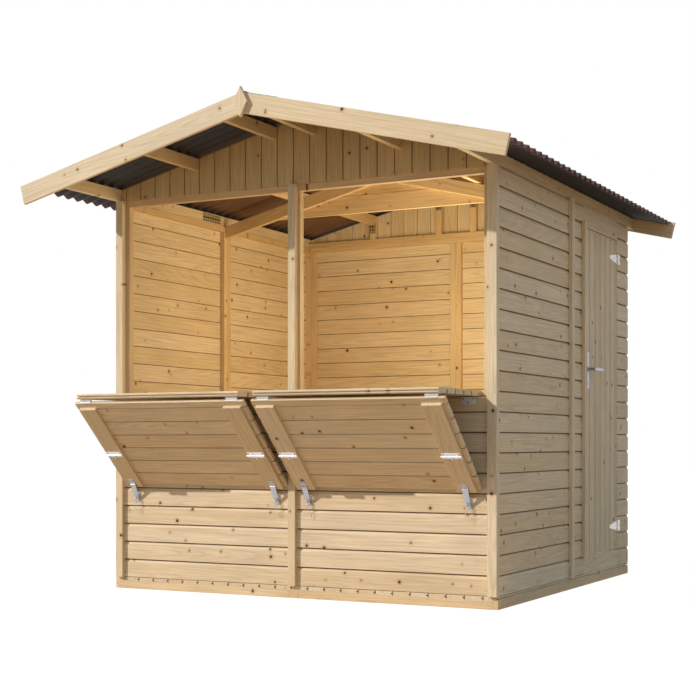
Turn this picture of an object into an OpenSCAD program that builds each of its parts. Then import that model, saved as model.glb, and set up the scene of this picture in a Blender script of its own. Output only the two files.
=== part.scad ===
// Timber market stall with a felted wave roof, two fold-down serving flaps and a side door.
// The origin is the middle of the footprint at ground level. The front faces -Y and Z is up.

/* [Footprint and walls] */
// Width over the wall cladding
stall_w = 2060; // [1900:10:2300]
// Depth over the wall cladding
stall_d = 1970; // [1920:10:2200]
// Height of the wall tops above the ground
wall_h = 1945; // [1900:5:2100]
// Depth of the rear panel of each side wall
rear_panel_d = 1000; // [980:5:1040]
// Thickness of the wall cladding
clad_t = 16; // [12:1:20]
// Height that one cladding board covers
clad_cover_h = 90; // [80:1:120]
// Wide side of a wall stud
stud_w = 34; // [28:1:40]
// Narrow side of a wall stud
stud_t = 28; // [22:1:32]

/* [Floor] */
// Height of the joists under the floor
joist_h = 38; // [30:1:60]
// Thickness of the joists
joist_t = 28; // [22:1:40]
// Thickness of the floor boards
floor_t = 19; // [16:1:25]
// Width that one tongue and groove board covers
board_cover = 88; // [70:1:120]

/* [Serving openings] */
// Height of the underside of the counters
counter_h = 936; // [880:1:1000]
// Thickness of the counters
counter_t = 24; // [20:1:30]
// Reach of the counters in front of the cladding
counter_reach = 431; // [380:1:480]
// How far the counters run into the openings
counter_tail = 26; // [20:1:30]
// Gap between a counter and the middle posts
counter_side_gap = 10; // [6:1:30]
// Gap between a counter and the corner post
counter_end_gap = 21; // [6:1:30]
// Thickness of the window sills behind the counters
sill_t = 21; // [16:1:28]

/* [Folding props] */
// Length of a folding prop, down its slope
prop_len = 566; // [520:1:620]
// Thickness of the boards of a prop
prop_t = 16; // [12:1:20]
// Gap between a prop and the middle cover strip
prop_mid_gap = 1; // [1:1:6]
// Width of a prop
prop_w = 938; // [850:1:950]
// How far the prop's upper edge stands behind the counter's front edge
prop_setback = 15; // [8:1:30]
// Height from the counter's underside to the prop's upper edge
prop_drop = 20; // [18:1:30]
// Width of the battens on the props
batten_w = 95; // [70:1:110]
// Thickness of the battens on the props
batten_t = 17; // [14:1:24]
// How far the battens stand in from the ends of the props
batten_side_inset = 18; // [4:1:24]
// How far the battens stop below the prop's upper edge
batten_inset = 28; // [20:1:40]
// How far down the props the bolts lie
bolt_at = 329; // [250:1:400]
// How far the staples lie below the knuckles of the hasps
staple_drop = 62; // [50:1:80]

/* [Cover strips] */
// Thickness of the cover strips
strip_t = 18; // [14:1:22]
// Width of the cover strips
strip_w = 40; // [30:1:50]
// Width of the middle cover strip in front
mid_strip_w = 38; // [30:1:50]
// How far a corner strip stands in from the outside of the wall
corner_inset = 12; // [8:1:14]

/* [Door] */
// Distance from the doorway to the rear corner
door_corner = 205; // [150:1:220]
// Clear width of the doorway
door_w = 575; // [540:1:600]
// Height of the doorway's upper edge
door_top = 1838; // [1780:1:1850]
// Height of the sill board under the door
door_sill_h = 90; // [70:1:110]
// Gap round the door
door_gap = 6; // [5:1:8]
// Thickness of the door's planks
door_t = 16; // [14:1:20]
// Width of the ledges inside the door
ledge_w = 88; // [70:1:110]
// Thickness of the ledges inside the door
ledge_t = 20; // [16:1:24]
// Distance of the hinge axis from the wall's outer face
hinge_out = 6; // [6:0.5:8]
// Outer radius of the hinge knuckles
knuckle_r = 5; // [4.5:0.1:5.5]
// Radius of the hinge pins
hinge_pin_r = 2.5; // [2:0.1:3]
// Height of the hinges
hinge_h = 54; // [45:1:70]
// Length of the hinge straps on the door
strap_len = 142; // [110:1:180]
// Height of the upper hinge's middle
hinge_high = 1734; // [1650:1:1740]
// Height of the lower hinge's middle
hinge_low = 278; // [250:1:330]
// Height of the door handle
handle_h = 1109; // [1000:1:1200]
// Distance of the handle's spindle from the doorway's edge
spindle_inset = 56; // [45:1:70]

/* [Roof] */
// Pitch of the roof in degrees
roof_pitch = 13.86; // [12:0.02:18]
// Reach of each roof slope from the ridge, measured level
roof_half = 1230; // [1200:5:1350]
// Overhang of the roof in front of the wall
front_hang = 436; // [380:2:480]
// Overhang of the roof behind the wall
rear_hang = 140; // [100:2:200]
// Height of a purlin
purlin_h = 58; // [50:1:70]
// Thickness of a purlin
purlin_t = 28; // [22:1:34]
// Distance of the middle purlins from the ridge
mid_purlin = 549; // [500:1:600]
// Distance of the upper purlins from the ridge
top_purlin = 111; // [90:1:140]
// Spacing of the waves in the roof sheets
wave_pitch = 76; // [70:1:95]
// Height of the waves over all
wave_h = 23; // [20:1:38]
// Thickness of the roof sheets
sheet_t = 3; // [2.4:0.2:4]
// Half width of the ridge cap, measured level
cap_half = 170; // [140:5:220]
// Width of the bargeboards
barge_w = 91; // [80:1:120]
// Thickness of the bargeboards
barge_t = 18; // [14:1:22]
// How far the bargeboards run past the roof sheets, down the slope
barge_run_on = 30; // [10:1:50]
// Width of the diamond at the front apex
diamond_w = 72; // [60:1:90]
// Height of the diamond at the front apex
diamond_h = 138; // [110:1:160]
// How far the diamond stands above the bargeboards
diamond_rise = 23; // [10:1:30]

/* [Roof truss] */
// Width of the truss rafters
rafter_w = 65; // [55:1:75]
// Thickness of the truss rafters
rafter_t = 28; // [22:1:34]
// Width of the truss ties
tie_w = 95; // [80:1:100]
// Thickness of the truss ties
tie_t = 18; // [14:1:22]
// Height of the lower tie above the wall tops
tie_rise = 20; // [10:1:30]

/* [Hidden] */

spruce = [0.87, 0.76, 0.60];
spruce_inside = [0.80, 0.64, 0.40];
bitumen = [0.16, 0.12, 0.11];
zinc = [0.75, 0.75, 0.78];
steel = [0.62, 0.62, 0.64];

half_w = stall_w / 2;
half_d = stall_d / 2;
floor_top = joist_h + floor_t;
clad_rows = round((wall_h - floor_top) / clad_cover_h);
clad_pitch = (wall_h - floor_top) / clad_rows;
inner_w = half_w - clad_t;
panel_d = stall_d - rear_panel_d;
stud_in = inner_w - stud_t;
touch = 0.3;
split = 0.5;

// Shadow gap between two cladding boards, and the slope on the lower board's upper edge
gap_h = 5;
gap_depth = 7;
slope_h = 5;
slope_depth = 3;
// Vee along the joints of tongue and groove boards, on the face and on the back
vee_w = 7;
vee_depth = 3;
back_vee_w = 3;
back_vee_depth = 1.5;

// Place along the depth, measured back from the front cladding
function back(d) = d - half_d;

// Joints in a run of boards, measured from its start
function joints(run, cover) = [for (x = [cover : cover : run - cover / 9]) x];

// Outline of a run of boards seen on their ends: the face at v = 0 and the back at v = t.
function vee_outline(run, t) = let (j = joints(run, board_cover), n = len(j)) concat(
    [[0, 0]],
    [for (x = j) each [[x - vee_w / 2, 0], [x, vee_depth], [x + vee_w / 2, 0]]],
    [[run, 0], [run, t]],
    [for (i = [1 : n]) let (x = j[n - i])
        each [[x + back_vee_w / 2, t], [x, t - back_vee_depth], [x - back_vee_w / 2, t]]],
    [[0, t]]);

// Outline of the wall cladding seen on its ends, from the lowest board up
function cladding_outline(run) = let (j = joints(run, clad_pitch), n = len(j), g = gap_h / 2) concat(
    [[0, 0]],
    [for (x = j) each [[x - g - slope_h, 0], [x - g, slope_depth], [x - g, gap_depth],
        [x + g, gap_depth], [x + g, 0]]],
    [[run, 0], [run, clad_t]],
    [for (i = [1 : n]) let (x = j[n - i])
        each [[x + back_vee_w / 2, clad_t], [x, clad_t - back_vee_depth],
            [x - back_vee_w / 2, clad_t]]],
    [[0, clad_t]]);

// Level cladding with its length along X, its height along Z and its face at Y = 0
module cladding(length, height) {
    rotate([90, 0, 90])
        linear_extrude(length)
            polygon([for (p = cladding_outline(height)) [p[1], p[0]]]);
}

// Upright boards with their width along X, their height along Z and their face at Y = 0
module upright_boards(width, height, t) {
    linear_extrude(height) polygon(vee_outline(width, t));
}

// Boards lying flat with their length along X, their joints along Y and their face at Z = 0
module flat_boards(length, depth, t) {
    rotate([90, 0, 90])
        linear_extrude(length)
            polygon([for (p = vee_outline(depth, t)) [p[0], -p[1]]]);
}

module bar(from, to) {
    translate(from) cube(to - from);
}

// The same thing on the right and, mirrored, on the left
module both_sides() {
    children();
    mirror([1, 0, 0]) children();
}

// Base and floor
module floor_joists() {
    inner_joist = half_w / 2 - joist_t / 2;
    color(spruce) {
        bar([-joist_t, -half_d, 0], [joist_t, half_d, joist_h]);
        both_sides() {
            bar([half_w - joist_t, -half_d, 0], [half_w, half_d, joist_h]);
            bar([inner_joist, -half_d + joist_t, 0], [inner_joist + joist_t, half_d - joist_t, joist_h]);
        }
    }
}

module floor_end_boards() {
    color(spruce)
        for (y = [-half_d, half_d - joist_t])
            both_sides()
                bar([joist_t, y, 0], [half_w - joist_t, y + joist_t, joist_h]);
}

module floor_boards() {
    color(spruce)
        translate([half_w, -half_d, floor_top])
            rotate([0, 0, 90])
                flat_boards(stall_d, stall_w, floor_t);
}

// Front wall
front_low_h = counter_h - floor_top;

module front_wall_right() {
    color(spruce)
        translate([0, back(0), floor_top]) cladding(inner_w, front_low_h);
}

module front_wall_left() {
    color(spruce)
        translate([-inner_w, back(0), floor_top]) cladding(inner_w, front_low_h);
}

header_h = 30;
header_low = wall_h - header_h;
post_in = stud_in - stud_t;

module front_posts() {
    color(spruce)
        both_sides() {
            bar([split / 2, back(clad_t), floor_top], [stud_t, back(clad_t + stud_w), header_low]);
            bar([post_in, back(clad_t), floor_top], [stud_in, back(clad_t + stud_w), header_low]);
        }
}

module front_rails() {
    y0 = back(clad_t);
    y1 = back(clad_t + stud_w);
    color(spruce) {
        bar([-stud_in, y0, header_low], [stud_in, y1, wall_h]);
        both_sides() {
            bar([stud_t, y0, floor_top], [post_in, y1, floor_top + stud_t]);
            bar([stud_t, y0, counter_h - stud_t], [post_in, y1, counter_h]);
        }
    }
}

module counter_sills() {
    color(spruce)
        both_sides()
            bar([stud_t, back(counter_tail + split), counter_h],
                [post_in, back(clad_t + stud_w), counter_h + sill_t]);
}

// Side and rear walls
module side_cladding(from, to, low, high) {
    translate([half_w, back(from), low])
        rotate([0, 0, 90])
            cladding(to - from, high - low);
}

module left_wall() {
    color(spruce)
        mirror([1, 0, 0]) {
            side_cladding(0, panel_d - split / 2, floor_top, wall_h);
            side_cladding(panel_d + split / 2, stall_d, floor_top, wall_h);
        }
}

door_to = stall_d - door_corner;
door_from = door_to - door_w;
sill_top = floor_top + door_sill_h;

module right_wall() {
    color(spruce) {
        side_cladding(0, panel_d - split / 2, floor_top, wall_h);
        side_cladding(panel_d + split / 2, door_from, floor_top, wall_h);
        side_cladding(door_to, stall_d, floor_top, wall_h);
    }
}

module right_wall_sill() {
    color(spruce)
        bar([inner_w, back(door_from), floor_top], [half_w, back(door_to), sill_top]);
}

module right_wall_head() {
    color(spruce)
        bar([inner_w, back(door_from), door_top], [half_w, back(door_to), wall_h]);
}

// Studs between the bottom and the top rail, at the given distances from the front
module side_studs(places) {
    for (d = places)
        bar([stud_in, back(d), floor_top + stud_t],
            [inner_w, back(d + stud_w - split / 2), wall_h - stud_t]);
}

last_stud = stall_d - clad_t - stud_w;
side_stud_places = [clad_t, panel_d - stud_w, panel_d + split / 2, last_stud];

module left_wall_studs() {
    color(spruce_inside) mirror([1, 0, 0]) side_studs(side_stud_places);
}

module right_wall_studs() {
    color(spruce_inside)
        side_studs(concat(side_stud_places, [door_from - stud_w, door_to]));
}

module rear_wall() {
    color(spruce)
        for (side = [0, 1])
            mirror([side, 0, 0])
                translate([inner_w, back(stall_d), floor_top])
                    rotate([0, 0, 180])
                        cladding(inner_w - split / 2, wall_h - floor_top);
}

module rear_wall_studs() {
    y0 = back(stall_d - clad_t - stud_t);
    y1 = back(stall_d - clad_t);
    color(spruce_inside)
        both_sides() {
            bar([split / 2, y0, floor_top + stud_t], [stud_w, y1, wall_h - stud_t]);
            bar([stud_in - split - stud_w, y0, floor_top + stud_t],
                [stud_in - split, y1, wall_h - stud_t]);
        }
}

// Bottom and top rails of the side walls and the rear wall
module wall_rails() {
    rear_end = back(stall_d - clad_t);
    color(spruce_inside)
        for (low = [floor_top, wall_h - stud_t]) {
            both_sides()
                bar([stud_in, back(clad_t), low], [inner_w, rear_end, low + stud_t]);
            bar([split - stud_in, rear_end - stud_t, low], [stud_in - split, rear_end, low + stud_t]);
        }
}

// Cover strips over the joints and corners
corner_out = half_w - corner_inset;

module cover_strips() {
    packer_w = 28;
    casing_over = 22;
    color(spruce) {
        bar([-mid_strip_w / 2, back(-strip_t), floor_top], [mid_strip_w / 2, back(0), wall_h]);
        bar([-packer_w / 2, back(0), counter_h], [packer_w / 2, back(clad_t), wall_h]);
        bar([-strip_w / 2, back(stall_d), floor_top], [strip_w / 2, back(stall_d + strip_t), wall_h]);
        both_sides() {
            bar([corner_out - strip_w, back(-strip_t), floor_top], [corner_out, back(0), wall_h]);
            bar([stud_in, back(0), counter_h], [inner_w, back(clad_t), wall_h]);
            bar([corner_out - strip_w, back(stall_d), floor_top],
                [corner_out, back(stall_d + strip_t), wall_h]);
            bar([half_w, back(panel_d - strip_w / 2), floor_top],
                [half_w + strip_t, back(panel_d + strip_w / 2), wall_h]);
        }
        bar([half_w, back(door_from - strip_w), sill_top],
            [half_w + strip_t, back(door_from), door_top + casing_over]);
    }
}

// Roof planes. roof_line is the height of the underside of the sheets at a distance from the ridge.
slope = tan(roof_pitch);
eave_purlin_in = 3;
eave_purlin = inner_w - eave_purlin_in;
plumb = 1 / cos(roof_pitch);
function roof_line(x) = wall_h + purlin_h + touch + slope * (eave_purlin + purlin_t / 2 - x);
function purlin_top(c) = roof_line(c + purlin_t / 2) - touch;
barge_top = roof_line(0) + wave_h;
barge_end_y = back(-front_hang);
rear_end_y = back(stall_d + rear_hang);

module purlin_pair(c) {
    both_sides()
        bar([c - purlin_t / 2, barge_end_y, purlin_top(c) - purlin_h],
            [c + purlin_t / 2, rear_end_y, purlin_top(c)]);
}

module top_purlins() {
    color(spruce_inside) purlin_pair(top_purlin);
}

module middle_purlins() {
    color(spruce_inside) purlin_pair(mid_purlin);
}

module eave_purlins() {
    color(spruce_inside) purlin_pair(eave_purlin);
}

// Gables of upright boards, notched over the purlins
gable_drop = 11;
gable_rail_h = 30;

module gable_boards() {
    rows = ceil(half_w / board_cover);
    low_corner = roof_line(inner_w) - gable_drop;
    difference() {
        intersection() {
            translate([-rows * board_cover, 0, wall_h])
                upright_boards(2 * rows * board_cover, roof_line(0) - wall_h, clad_t);
            translate([0, clad_t + 1, 0])
                rotate([90, 0, 0])
                    linear_extrude(clad_t + 2)
                        polygon([[-inner_w, wall_h], [inner_w, wall_h], [inner_w, low_corner],
                            [0, roof_line(0) - gable_drop], [-inner_w, low_corner]]);
        }
        for (c = [top_purlin, mid_purlin, eave_purlin])
            both_sides()
                translate([c - purlin_t / 2 - touch, -1, purlin_top(c) - purlin_h - touch])
                    cube([purlin_t + 2 * touch, clad_t + 2, 2 * purlin_h]);
    }
}

module front_gable() {
    color(spruce) translate([0, back(0), 0]) gable_boards();
}

module rear_gable() {
    color(spruce) mirror([0, 1, 0]) translate([0, back(0), 0]) gable_boards();
}

module gable_rails() {
    color(spruce_inside)
        for (side = [0, 1])
            mirror([0, side, 0])
                bar([touch + purlin_t / 2 - eave_purlin, back(clad_t), wall_h],
                    [eave_purlin - purlin_t / 2 - touch, back(clad_t + stud_t), wall_h + gable_rail_h]);
}

module gable_studs() {
    support_w = 40;
    color(spruce_inside)
        for (side = [0, 1], c = [top_purlin, mid_purlin])
            mirror([0, side, 0])
                both_sides()
                    bar([c - support_w / 2, back(clad_t), wall_h + gable_rail_h],
                        [c + support_w / 2, back(clad_t + stud_t), purlin_top(c) - purlin_h]);
}

// Truss under the middle of the roof
rafter_top = purlin_top(0) - purlin_h - slope * purlin_t / 2 - touch;
rafter_low = rafter_top - rafter_w * plumb;
truss_behind = 5;
truss_y = back(panel_d + truss_behind);

module truss_rafters() {
    end_x = stud_in - touch;
    color(spruce_inside)
        both_sides()
            translate([0, truss_y, 0])
                rotate([90, 0, 0])
                    linear_extrude(rafter_t)
                        polygon([[split, rafter_top - slope * split], [split, rafter_low - slope * split],
                            [end_x, rafter_low - slope * end_x], [end_x, rafter_top - slope * end_x]]);
}

module truss_ties() {
    tie_gap = 2;
    tie_end_gap = 6;
    tie_low = wall_h + tie_rise;
    color(spruce_inside)
        for (i = [0, 1]) {
            z0 = tie_low + i * (tie_w + tie_gap);
            z1 = z0 + tie_w;
            x0 = (rafter_top - z0) / slope - tie_end_gap;
            x1 = (rafter_top - z1) / slope - tie_end_gap;
            translate([0, truss_y + tie_t, 0])
                rotate([90, 0, 0])
                    linear_extrude(tie_t)
                        polygon([[-x0, z0], [x0, z0], [x1, z1], [-x1, z1]]);
        }
}

// Wave sheets. The outline runs along the depth and the waves run down the slope.
wave_steps = 8;
sheet_from = barge_end_y + touch;
sheet_run = rear_end_y - barge_end_y - 2 * touch;
wave_count = sheet_run / wave_pitch;
wave_rise = wave_h - sheet_t;

function wave(y) = wave_rise * (1 - cos(360 * y / wave_pitch)) / 2;

wave_stops = concat([for (i = [0 : floor(wave_count * wave_steps)]) i * wave_pitch / wave_steps],
    [sheet_run]);

module roof_sheet() {
    stops = len(wave_stops);
    sheet_low = 4;
    sheet_len = (roof_half - sheet_low) * plumb;
    translate([sheet_low, sheet_from, roof_line(sheet_low)])
        rotate([0, roof_pitch, 0])
            rotate([90, 0, 90])
                linear_extrude(sheet_len)
                    polygon(concat([for (y = wave_stops) [y, wave(y)]],
                        [for (i = [1 : stops]) let (y = wave_stops[stops - i]) [y, wave(y) + sheet_t]]));
}

module roof_right() {
    color(bitumen) roof_sheet();
}

module roof_left() {
    color(bitumen) mirror([1, 0, 0]) roof_sheet();
}

// Ridge cap: two flat wings that lie on the crests, with a rounded roll over the ridge
function cap_line(x) = roof_line(abs(x)) + wave_h * plumb + touch;

module ridge_cap() {
    roll = 22;
    roll_rise = 9;
    roll_steps = 6;
    under = concat([[-cap_half, cap_line(cap_half)]],
        [for (i = [-roll_steps : roll_steps]) let (x = i * roll / roll_steps)
            [x, cap_line(roll) + roll_rise * cos(90 * i / roll_steps)]],
        [[cap_half, cap_line(cap_half)]]);
    stops = len(under);
    color(bitumen)
        translate([0, rear_end_y - touch, 0])
            rotate([90, 0, 0])
                linear_extrude(sheet_run)
                    polygon(concat(under,
                        [for (i = [1 : stops]) under[stops - i] + [0, sheet_t]]));
}

// A pair of bargeboards, plumb cut where they meet and square cut at their lower ends
module bargeboards() {
    run = roof_half * plumb + barge_run_on;
    end_x = run * cos(roof_pitch);
    end_z = barge_top - run * sin(roof_pitch);
    start_z = barge_top - slope * split / 2;
    both_sides()
        translate([0, barge_t, 0])
            rotate([90, 0, 0])
                linear_extrude(barge_t)
                    polygon([[split / 2, start_z], [split / 2, start_z - barge_w * plumb],
                        [end_x - barge_w * sin(roof_pitch), end_z - barge_w * cos(roof_pitch)],
                        [end_x, end_z]]);
}

module front_bargeboards() {
    color(spruce) translate([0, barge_end_y - barge_t, 0]) bargeboards();
}

module rear_bargeboards() {
    color(spruce) translate([0, rear_end_y, 0]) bargeboards();
}

module apex_diamond() {
    middle = barge_top + diamond_rise - diamond_h / 2;
    color(spruce)
        translate([0, barge_end_y - barge_t, middle])
            rotate([90, 0, 0])
                linear_extrude(barge_t)
                    polygon([[diamond_w / 2, 0], [0, diamond_h / 2], [-diamond_w / 2, 0],
                        [0, -diamond_h / 2]]);
}

// Counters of level boards
counter_top = counter_h + counter_t;
counter_from = stud_t + counter_side_gap;
counter_to = post_in - counter_end_gap;

module counter_board() {
    translate([counter_from, back(-counter_reach), counter_top])
        flat_boards(counter_to - counter_from, counter_reach + counter_tail, counter_t);
}

module counter_right() {
    color(spruce) counter_board();
}

module counter_left() {
    color(spruce) mirror([1, 0, 0]) counter_board();
}

// Folding props. Each leans from under the counter's front edge back to the cladding.
prop_front = counter_reach - prop_setback;
prop_high = counter_h - prop_drop;
prop_diagonal = sqrt(prop_len * prop_len + prop_t * prop_t);
prop_angle = atan(prop_t / prop_len) + acos((prop_front - touch) / prop_diagonal);
prop_from = mid_strip_w / 2 + prop_mid_gap;
prop_to = prop_from + prop_w;

// Puts children on a prop: X stays, Y runs down the slope and Z points away from the outer face
module on_prop() {
    translate([0, back(-prop_front), prop_high])
        rotate([-prop_angle, 0, 0])
            mirror([0, 0, 1])
                children();
}

module prop_board() {
    on_prop()
        translate([prop_from, 0, 0])
            flat_boards(prop_w, prop_len, prop_t);
}

module prop_right() {
    color(spruce) prop_board();
}

module prop_left() {
    color(spruce) mirror([1, 0, 0]) prop_board();
}

batten_places = [prop_from + batten_side_inset, prop_to - batten_side_inset - batten_w];
batten_foot = 5;
batten_end = prop_len - batten_foot;

module prop_battens() {
    color(spruce)
        both_sides()
            for (x = batten_places)
                on_prop()
                    bar([x, batten_inset, 0], [x + batten_w, batten_end, batten_t]);
}

// Zinc fittings of the flaps
plate_t = 2;
fuse = 0.3;

// Butt hinges between counters and props, and the hinge plates on the wall under the counters
module counter_hinges() {
    hinge_len = 60;
    hinge_in = 32;
    barrel_r = 4.5;
    leaf_d = 34;
    barrel_z = counter_h - plate_t - barrel_r + fuse;
    barrel_y = back(-prop_front) + ((barrel_z - prop_high) * sin(prop_angle)
        - (barrel_r + plate_t - fuse)) / cos(prop_angle);
    wall_plate_w = 66;
    wall_plate_h = 32;
    wall_plate_in = 14;
    wall_plate_drop = 5;
    color(zinc)
        both_sides() {
            for (x = [prop_from + hinge_in, prop_to - hinge_in - hinge_len]) {
                translate([x, barrel_y, barrel_z])
                    rotate([0, 90, 0])
                        cylinder(r = barrel_r, h = hinge_len, $fn = 24);
                bar([x, barrel_y, counter_h - plate_t], [x + hinge_len, barrel_y + leaf_d, counter_h]);
                on_prop() bar([x, -plate_t, -prop_t], [x + hinge_len, 0, 0]);
            }
            for (x = [counter_from + wall_plate_in, counter_to - wall_plate_in - wall_plate_w])
                bar([x, back(-plate_t), counter_h - wall_plate_drop - wall_plate_h],
                    [x + wall_plate_w, back(0), counter_h - wall_plate_drop]);
        }
}

// Barrel bolts across the battens: a plate, two guides, and the bolt with its knob
module prop_bolts() {
    bolt_r = 4.5;
    bolt_plate_w = 86;
    bolt_plate_h = 34;
    guide_w = 14;
    guide_r = bolt_r + 1.5;
    knob_r = 3;
    knob_h = 20;
    bolt_z = batten_t + plate_t + bolt_r - fuse;
    color(zinc)
        both_sides()
            for (x = batten_places)
                on_prop()
                    translate([x + batten_w / 2, bolt_at, 0]) {
                        bar([-bolt_plate_w / 2, -bolt_plate_h / 2, batten_t],
                            [bolt_plate_w / 2, bolt_plate_h / 2, batten_t + plate_t]);
                        translate([-batten_w / 2, 0, bolt_z])
                            rotate([0, 90, 0])
                                cylinder(r = bolt_r, h = batten_w, $fn = 20);
                        for (side = [-1, 1])
                            translate([side * bolt_plate_w / 3 - guide_w / 2, 0, bolt_z])
                                rotate([0, 90, 0])
                                    cylinder(r = guide_r, h = guide_w, $fn = 20);
                        translate([0, 0, bolt_z])
                            rotate([-90, 0, 0])
                                cylinder(r = knob_r, h = knob_h, $fn = 16);
                    }
}

// A hasp on each batten: its leaf, a knuckle, and a tongue that reaches back over a staple on the wall
module prop_hasps() {
    hasp_w = 30;
    leaf_len = 34;
    knuckle_up = 25;
    knuckle_at = prop_len - knuckle_up;
    pin_r = 3.5;
    tip_w = 22;
    tip_below = 17;
    slot_w = 6;
    slot_len = 22;
    slot_end = 5;
    staple_plate_h = 44;
    staple_r = 10;
    staple_wire_r = 2;
    knuckle_out = batten_t + pin_r;
    knuckle_y = back(-prop_front) + knuckle_at * cos(prop_angle) - knuckle_out * sin(prop_angle);
    knuckle_z = prop_high - knuckle_at * sin(prop_angle) - knuckle_out * cos(prop_angle);
    tongue_foot = back(-plate_t - touch);
    staple_h = knuckle_z - staple_drop;
    tongue_drop = staple_drop + tip_below;
    tongue_rise = atan((tongue_foot - knuckle_y) / tongue_drop);
    tongue_len = tongue_drop / cos(tongue_rise);
    color(zinc)
        both_sides()
            for (x = batten_places)
                translate([x + batten_w / 2, 0, 0]) {
                    on_prop() {
                        bar([-hasp_w / 2, knuckle_at - leaf_len, batten_t],
                            [hasp_w / 2, knuckle_at, batten_t + plate_t]);
                        translate([-hasp_w / 2, knuckle_at, knuckle_out])
                            rotate([0, 90, 0])
                                cylinder(r = pin_r, h = hasp_w, $fn = 20);
                    }
                    translate([0, knuckle_y, knuckle_z])
                        rotate([tongue_rise, 0, 0])
                            rotate([90, 0, 0])
                                linear_extrude(plate_t)
                                    difference() {
                                        polygon([[-hasp_w / 2, 0], [-tip_w / 2, -tongue_len],
                                            [tip_w / 2, -tongue_len], [hasp_w / 2, 0]]);
                                        translate([-slot_w / 2, slot_end - tongue_len])
                                            square([slot_w, slot_len]);
                                    }
                    bar([-hasp_w / 2, back(-plate_t), staple_h - staple_plate_h / 2],
                        [hasp_w / 2, back(0), staple_h + staple_plate_h / 2]);
                    translate([0, back(-plate_t) + fuse, staple_h])
                        rotate([0, 90, 0])
                            rotate([0, 0, 180])
                                rotate_extrude(angle = 180, $fn = 32)
                                    translate([staple_r, 0])
                                        circle(r = staple_wire_r, $fn = 16);
                }
}

// Door
leaf_low = sill_top + door_gap - 1;
leaf_high = door_top - door_gap + 1;
hinge_x = half_w + hinge_out;
hinge_y = back(door_to - door_gap / 2);
leaf_from = back(door_from + door_gap);
leaf_to = hinge_y - door_gap / 2;

module door_leaf() {
    color(spruce)
        translate([half_w, leaf_from, leaf_low])
            rotate([0, 0, 90])
                upright_boards(leaf_to - leaf_from, leaf_high - leaf_low, door_t);
}

module door_ledges() {
    ledge_end = 20;
    x1 = half_w - door_t;
    color(spruce_inside)
        for (z = [hinge_low, (hinge_low + hinge_high) / 2, hinge_high])
            bar([x1 - ledge_t, leaf_from + ledge_end, z - ledge_w / 2],
                [x1, leaf_to - ledge_end, z + ledge_w / 2]);
}

strap_t = 2.5;
knuckle_gap = 0.5;

// Three-cornered strap on the door, wide beside the barrel, with the middle knuckle
module strap() {
    knuckle_h = hinge_h / 3 - 2 * knuckle_gap;
    wide_h = hinge_h - 2;
    tip_r = 8;
    root = knuckle_r + 1;
    reach = strap_len - tip_r - root;
    touch = atan2(wide_h / 2, reach) + acos(tip_r / norm([reach, wide_h / 2]));
    touch_x = tip_r - strap_len + tip_r * cos(touch);
    touch_y = tip_r * sin(touch);
    translate([half_w, hinge_y, 0])
        rotate([90, 0, 90])
            linear_extrude(strap_t) {
                polygon([[-root, wide_h / 2], [touch_x, touch_y], [touch_x, -touch_y],
                    [-root, -wide_h / 2]]);
                translate([tip_r - strap_len, 0]) circle(r = tip_r, $fn = 48);
            }
    translate([hinge_x, hinge_y, -knuckle_h / 2])
        difference() {
            union() {
                cylinder(r = knuckle_r, h = knuckle_h, $fn = 48);
                translate([-hinge_out, -root, 0]) cube([strap_t, root, knuckle_h]);
            }
            translate([0, 0, -1]) cylinder(r = hinge_pin_r + 0.05, h = knuckle_h + 2, $fn = 48);
        }
}

module door_straps() {
    color(zinc)
        for (z = [hinge_low, hinge_high])
            translate([0, 0, z]) strap();
}

// Wall plate with the outer knuckles and the pin
module hinge_plate() {
    plate_w = 42;
    knuckle_h = hinge_h / 3;
    plate_at = 4;
    translate([half_w, hinge_y + plate_at, -hinge_h / 2]) cube([strap_t, plate_w, hinge_h]);
    for (z = [-hinge_h / 2, hinge_h / 6])
        translate([0, 0, z]) {
            translate([hinge_x, hinge_y, 0]) cylinder(r = knuckle_r, h = knuckle_h, $fn = 48);
            translate([half_w, hinge_y, 0]) cube([strap_t, plate_at + 1, knuckle_h]);
        }
    translate([hinge_x, hinge_y, -hinge_h / 2]) cylinder(r = hinge_pin_r, h = hinge_h, $fn = 48);
}

module door_hinge_plates() {
    color(zinc)
        for (z = [hinge_low, hinge_high])
            translate([0, 0, z]) hinge_plate();
}

// Outline of a plate with rounded corners, centred on the origin
module rounded_plate(w, h, r) {
    square([w - 2 * r, h], center = true);
    square([w, h - 2 * r], center = true);
    for (x = [r - w / 2, w / 2 - r], y = [r - h / 2, h / 2 - r])
        translate([x, y]) circle(r = r, $fn = 24);
}

// Lever handle on a long plate with a keyhole
module door_handle() {
    plate_w = 38;
    plate_h = 190;
    plate_thick = 3;
    plate_corner = 7;
    plate_under = 102;
    key_under = 72;
    key_r = 4;
    neck = 42;
    neck_r = 8;
    collar = 6;
    collar_r = 13;
    lever = 130;
    lever_r = 9;
    color(steel)
        translate([half_w, back(door_from + spindle_inset), handle_h]) {
            rotate([90, 0, 90])
                linear_extrude(plate_thick)
                    difference() {
                        translate([0, plate_h / 2 - plate_under])
                            rounded_plate(plate_w, plate_h, plate_corner);
                        translate([0, -key_under]) circle(r = key_r, $fn = 24);
                        translate([-key_r / 2, -key_under - 3 * key_r]) square([key_r, 3 * key_r]);
                    }
            rotate([0, 90, 0]) {
                cylinder(r = neck_r, h = neck, $fn = 32);
                cylinder(r = collar_r, h = plate_thick + collar, $fn = 32);
            }
            for (y = [-2, lever - 2 * lever_r - 2])
                translate([neck, y, 0]) sphere(r = lever_r, $fn = 32);
            translate([neck, -2, 0])
                rotate([-90, 0, 0])
                    cylinder(r = lever_r, h = lever - 2 * lever_r, $fn = 32);
        }
}

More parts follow.
